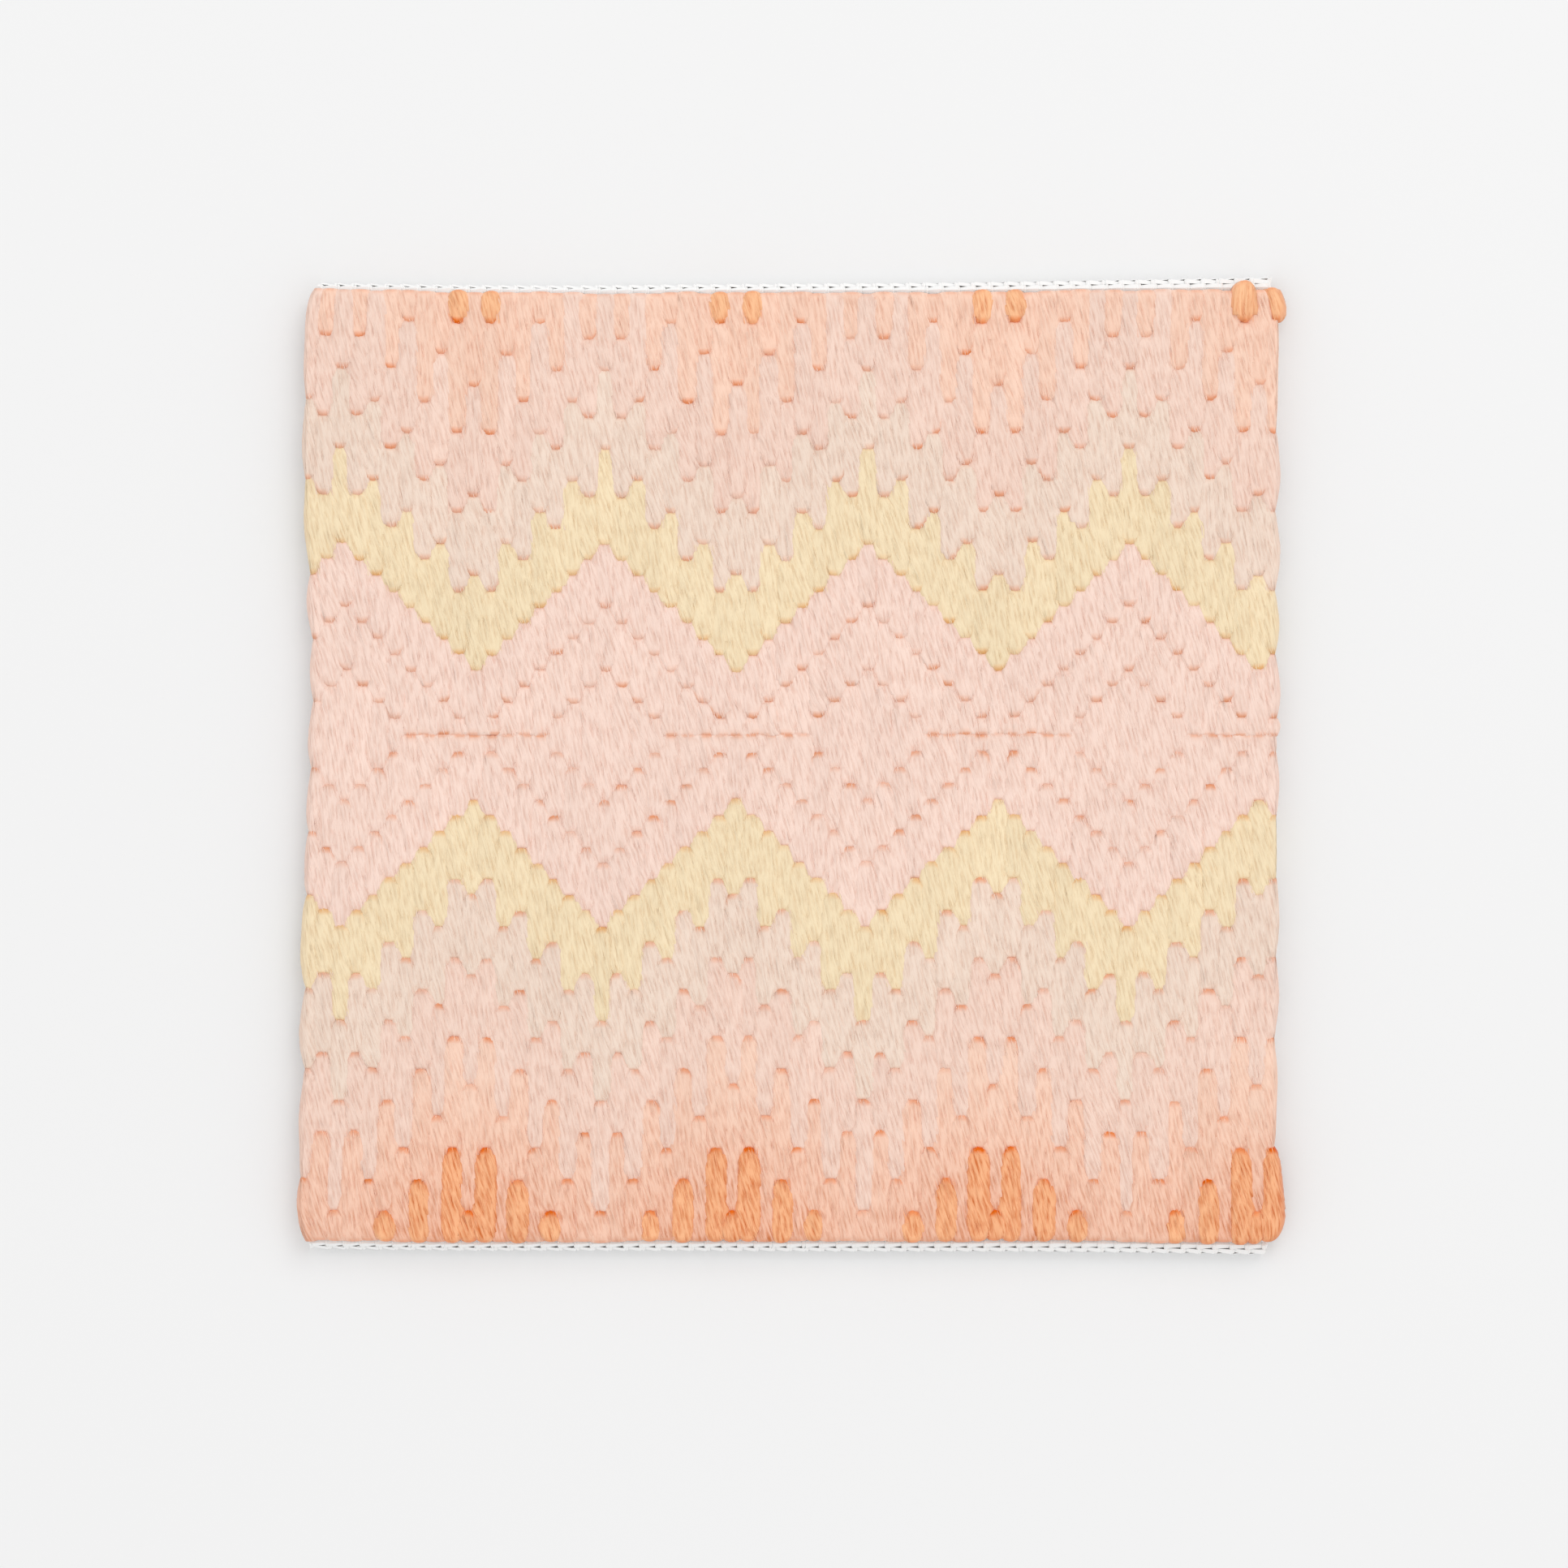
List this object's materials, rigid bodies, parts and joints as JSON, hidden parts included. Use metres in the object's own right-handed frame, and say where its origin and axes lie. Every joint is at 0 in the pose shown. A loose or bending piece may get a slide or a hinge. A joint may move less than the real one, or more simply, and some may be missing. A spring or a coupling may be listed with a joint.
{
  "type": "embroidered panel",
  "caption": "Square needlepoint panel: white canvas with its margins folded to the back, covered in upright wool stitches in pastel zigzag bands.",
  "frame": {"origin": "middle of the underside, on the surface that the panel lies on", "axes": "+X to the right of the pattern, +Y to its top, +Z out of the wool face"},
  "size_m": [0.1536, 0.1506, 0.0053],
  "materials": {
    "cotton_canvas": "matt open weave",
    "pink_wool": "matt wool yarn",
    "yellow_wool": "matt wool yarn",
    "cream_wool": "matt wool yarn",
    "blush_wool": "matt wool yarn",
    "peach_wool": "matt wool yarn",
    "orange_wool": "matt wool yarn"
  },
  "bodies": {
    "root": {"canvas": "cotton_canvas", "wool_reverse": "pink_wool", "pink_centre": "pink_wool", "yellow_upper": "yellow_wool", "cream_upper": "cream_wool", "blush_upper": "blush_wool", "peach_upper_1": "peach_wool", "peach_upper_2": "peach_wool", "peach_upper_3": "peach_wool", "peach_upper_4": "peach_wool", "peach_upper_5": "peach_wool", "peach_upper_6": "peach_wool", "peach_upper_7": "peach_wool", "peach_upper_8": "peach_wool", "peach_upper_9": "peach_wool", "peach_upper_10": "peach_wool", "peach_upper_11": "peach_wool", "peach_upper_12": "peach_wool", "orange_upper_1": "orange_wool", "orange_upper_2": "orange_wool", "orange_upper_3": "orange_wool", "orange_upper_4": "orange_wool", "orange_upper_5": "orange_wool", "orange_upper_6": "orange_wool", "orange_upper_7": "orange_wool", "orange_upper_8": "orange_wool", "yellow_lower": "yellow_wool", "cream_lower": "cream_wool", "blush_lower": "blush_wool", "peach_lower": "peach_wool", "orange_lower_1": "orange_wool", "orange_lower_2": "orange_wool", "orange_lower_3": "orange_wool", "orange_lower_4": "orange_wool", "orange_lower_5": "orange_wool", "orange_lower_6": "orange_wool", "orange_lower_7": "orange_wool", "orange_lower_8": "orange_wool", "orange_lower_9": "orange_wool", "orange_lower_10": "orange_wool", "orange_lower_11": "orange_wool", "orange_lower_12": "orange_wool", "orange_lower_13": "orange_wool", "orange_lower_14": "orange_wool", "orange_lower_15": "orange_wool", "orange_lower_16": "orange_wool", "orange_lower_17": "orange_wool", "orange_lower_18": "orange_wool"}
  },
  "joints": []
}
